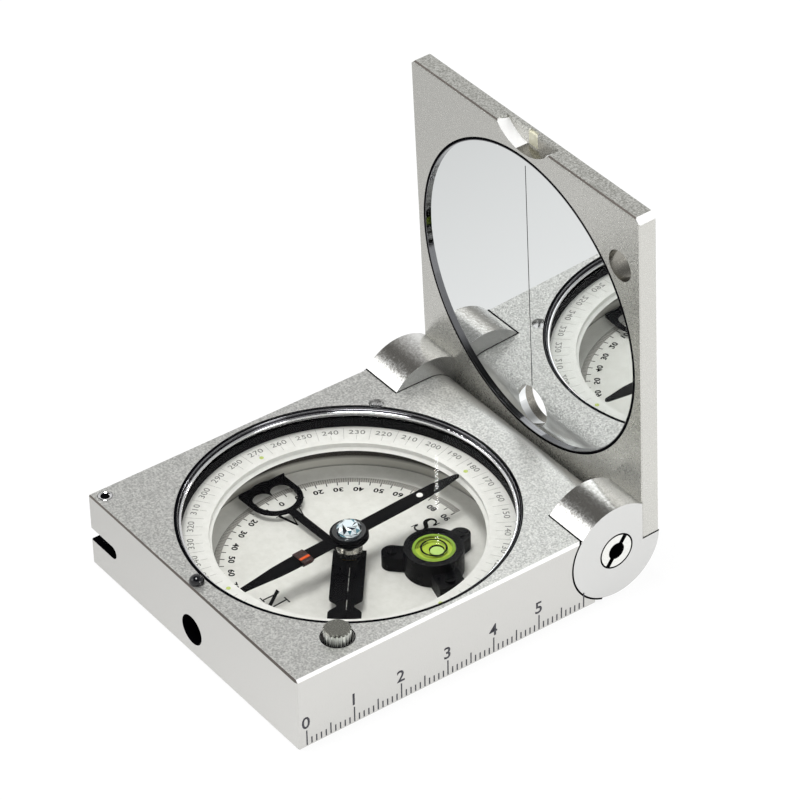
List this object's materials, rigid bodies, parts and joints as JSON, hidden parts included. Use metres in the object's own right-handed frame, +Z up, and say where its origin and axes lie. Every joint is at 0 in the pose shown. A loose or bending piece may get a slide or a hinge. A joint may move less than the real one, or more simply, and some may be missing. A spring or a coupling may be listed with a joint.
{
  "type": "geological compass",
  "caption": "Square metal case with a glazed dial, magnetic needle, hanging clinometer pointer, round level and needle lock, and a hinged lid with a round mirror and a sight hole.",
  "frame": {"origin": "centre of the dial on the flat underside of the case", "axes": "+X towards the side that carries the ruler, +Y towards the hinge, +Z up out of the dial; the lid stands open"},
  "size_m": [0.0642, 0.0786, 0.0789],
  "materials": {
    "case_metal": "matt blasted",
    "lid_metal": "matt blasted",
    "chrome": "polished",
    "steel": "turned",
    "nickel": "polished",
    "brass": "turned",
    "clear_glass": "clear",
    "level_glass": "clear",
    "level_liquid": "clear green",
    "mirror": "polished",
    "black": "satin black",
    "gasket": "matt",
    "dial_white": "matt white",
    "ring_white": "matt white",
    "needle_black": "satin black",
    "jewel": "clear",
    "coil_orange": "gloss",
    "cream": "matt"
  },
  "bodies": {
    "case": {"case_body": "case_metal", "bezel_ring": "chrome", "retaining_wire": "steel", "cover_glass": "clear_glass", "glass_seat": "gasket", "dial_plate": "dial_white", "pivot_post": "steel", "level_housing": "black", "level_fluid": "level_liquid", "level_glass": "level_glass", "level_screws": "steel", "lever_bracket": "steel", "lever_pin": "steel", "hinge_pin_left": "steel", "hinge_pin_right": "steel", "hinge_washers": "brass", "strap_pin": "steel", "sight_bead": "black"},
    "lid": {"lid_panel": "lid_metal", "mirror_glass": "mirror", "mirror_ring": "chrome", "knuckle_left": "lid_metal", "knuckle_right": "lid_metal", "lid_screws": "steel", "sight_strip": "cream"},
    "azimuth_ring": {"azimuth_ring": "ring_white"},
    "declination_adjuster": {"adjuster_screw": "steel", "adjuster_gear": "brass"},
    "clinometer": {"clinometer_pointer": "black", "clinometer_bush": "brass"},
    "lift_pin": {"lift_pin": "steel"},
    "lock_knob": {"lock_knob": "chrome", "knob_spindle": "steel"},
    "lift_lever": {"lift_lever": "black"},
    "lift_collar": {"lift_collar": "nickel"},
    "needle": {"needle_blade": "needle_black", "needle_hub": "needle_black", "jewel_cap": "jewel", "balance_coil": "coil_orange"}
  },
  "joints": [
    {"name": "lid_hinge", "type": "hinge", "parent": "case", "child": "lid", "pos_m": [0, 0.035, 0.00965], "axis": [1, 0, 0], "range_deg": [-91.9, 88.1]},
    {"name": "ring_turn", "type": "hinge", "parent": "case", "child": "azimuth_ring", "pos_m": [0, 0, 0.0114], "axis": [0, 0, 1], "range_deg": [-10, 10]},
    {"name": "adjuster_turn", "type": "hinge", "parent": "case", "child": "declination_adjuster", "pos_m": [-0.02249, 0.02249, 0.0114], "axis": [0, 0, 1], "range_deg": [-167, 167]},
    {"name": "pointer_swing", "type": "hinge", "parent": "case", "child": "clinometer", "pos_m": [0, 0, 0.005], "axis": [0, 0, 1], "range_deg": [-92.3, 87.7]},
    {"name": "lift_pin_slide", "type": "slide", "parent": "case", "child": "lift_pin", "axis": [0, 0, -1], "range_m": [0, 0.0005]},
    {"name": "knob_turn", "type": "hinge", "parent": "lift_pin", "child": "lock_knob", "pos_m": [0.02669, -0.02162, 0.0155], "axis": [0, 0, -1], "range_deg": [0, 270]},
    {"name": "lever_tilt", "type": "hinge", "parent": "case", "child": "lift_lever", "pos_m": [0.01181, -0.00957, 0.00485], "axis": [0.6293, 0.7771, 0], "range_deg": [0, 1.5]},
    {"name": "collar_lift", "type": "slide", "parent": "case", "child": "lift_collar", "axis": [0, 0, 1], "range_m": [0, 0.0004]},
    {"name": "needle_spin", "type": "hinge", "parent": "lift_collar", "child": "needle", "pos_m": [0, 0, 0.01017], "axis": [0, 0, 1], "continuous": true}
  ],
  "couplings": [
    {"joint": "adjuster_turn", "follows": "ring_turn", "ratio": -16.667},
    {"joint": "knob_turn", "follows": "lift_pin_slide", "rad_per_m": 9424.8},
    {"joint": "lever_tilt", "follows": "lift_pin_slide", "rad_per_m": 52.359},
    {"joint": "collar_lift", "follows": "lift_pin_slide", "ratio": 0.8}
  ]
}
